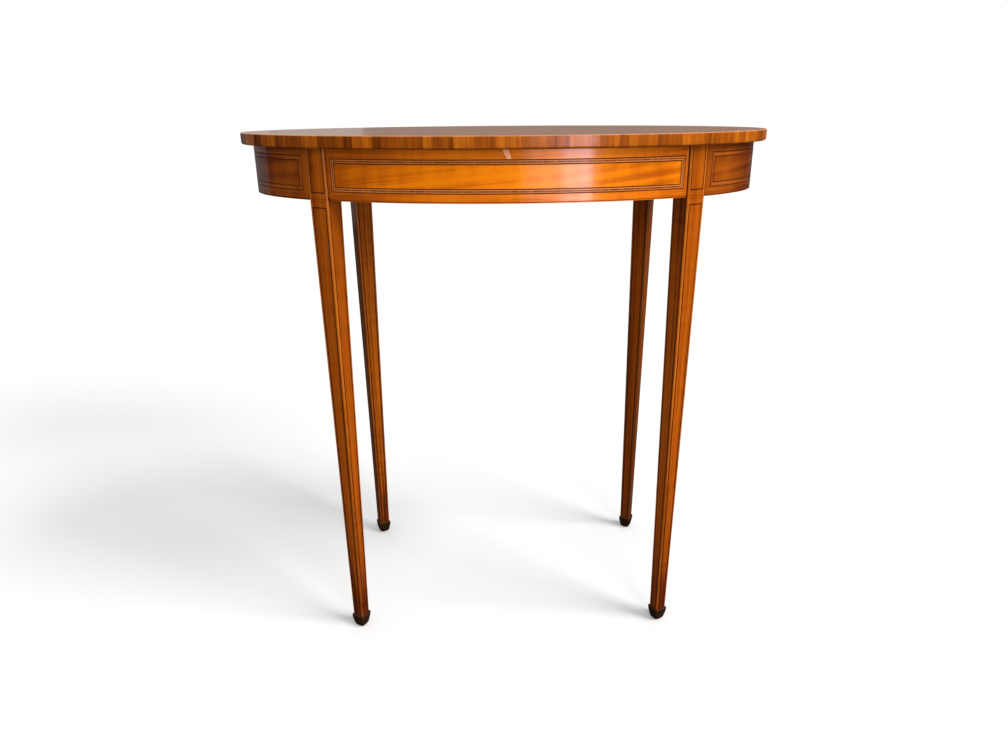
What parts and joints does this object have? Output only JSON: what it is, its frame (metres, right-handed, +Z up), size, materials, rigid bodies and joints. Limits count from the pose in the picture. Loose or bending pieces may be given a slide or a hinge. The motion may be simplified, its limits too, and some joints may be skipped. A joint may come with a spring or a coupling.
{
  "type": "oval stand table",
  "caption": "Oval side table in polished satinwood: curved inlaid apron with a sliding front drawer, and square tapered legs on dark block feet.",
  "frame": {"origin": "on the floor, under the middle of the oval top", "axes": "+X along the top's length, -Y towards the drawer front, +Z up"},
  "size_m": [0.722, 0.434, 0.72],
  "materials": {
    "satinwood": "French-polished golden satinwood veneer and solid",
    "satinwood_border": "French-polished crossbanding, a shade darker",
    "inlay": "polished dark and light stringing lines",
    "ebonised": "dark stained and waxed",
    "carcass": "plain mahogany ground, stained where it shows",
    "lining": "bare oak, darkened with age",
    "steel": "plain wood screws"
  },
  "bodies": {
    "table": {"top_board": "carcass", "top_field_veneer": "satinwood", "top_stringing": "inlay", "top_crossbanding": "satinwood_border", "top_edge_banding": "satinwood_border", "leg_front_left": "satinwood", "leg_front_right": "satinwood", "leg_back_left": "satinwood", "leg_back_right": "satinwood", "foot_front_left": "ebonised", "foot_front_right": "ebonised", "foot_back_left": "ebonised", "foot_back_right": "ebonised", "end_rail_left": "carcass", "end_rail_right": "carcass", "back_rail": "carcass", "end_border_left": "satinwood_border", "end_border_right": "satinwood_border", "end_stringing_left": "inlay", "end_stringing_right": "inlay", "end_panel_left": "satinwood", "end_panel_right": "satinwood", "back_border": "satinwood_border", "back_stringing": "inlay", "back_panel": "satinwood", "drawer_rail": "carcass", "top_rail": "carcass", "runner_left": "lining", "runner_right": "lining", "guide_left": "lining", "guide_right": "lining", "kicker_left": "lining", "kicker_right": "lining", "fixing_block_front_left": "lining", "fixing_block_front_right": "lining", "fixing_block_back_left": "lining", "fixing_block_back_right": "lining", "top_screw_front_left": "steel", "top_screw_front_right": "steel", "top_screw_back_left": "steel", "top_screw_back_right": "steel", "top_screw_rail_left": "steel", "top_screw_rail_right": "steel"},
    "drawer": {"drawer_front": "carcass", "drawer_front_border": "satinwood_border", "drawer_front_stringing": "inlay", "drawer_front_panel": "satinwood", "drawer_side_left": "lining", "drawer_side_right": "lining", "drawer_back": "lining", "drawer_bottom": "lining"}
  },
  "joints": [
    {"name": "drawer_slide", "type": "slide", "parent": "table", "child": "drawer", "axis": [0, -1, 0], "range_m": [0, 0.2]}
  ]
}
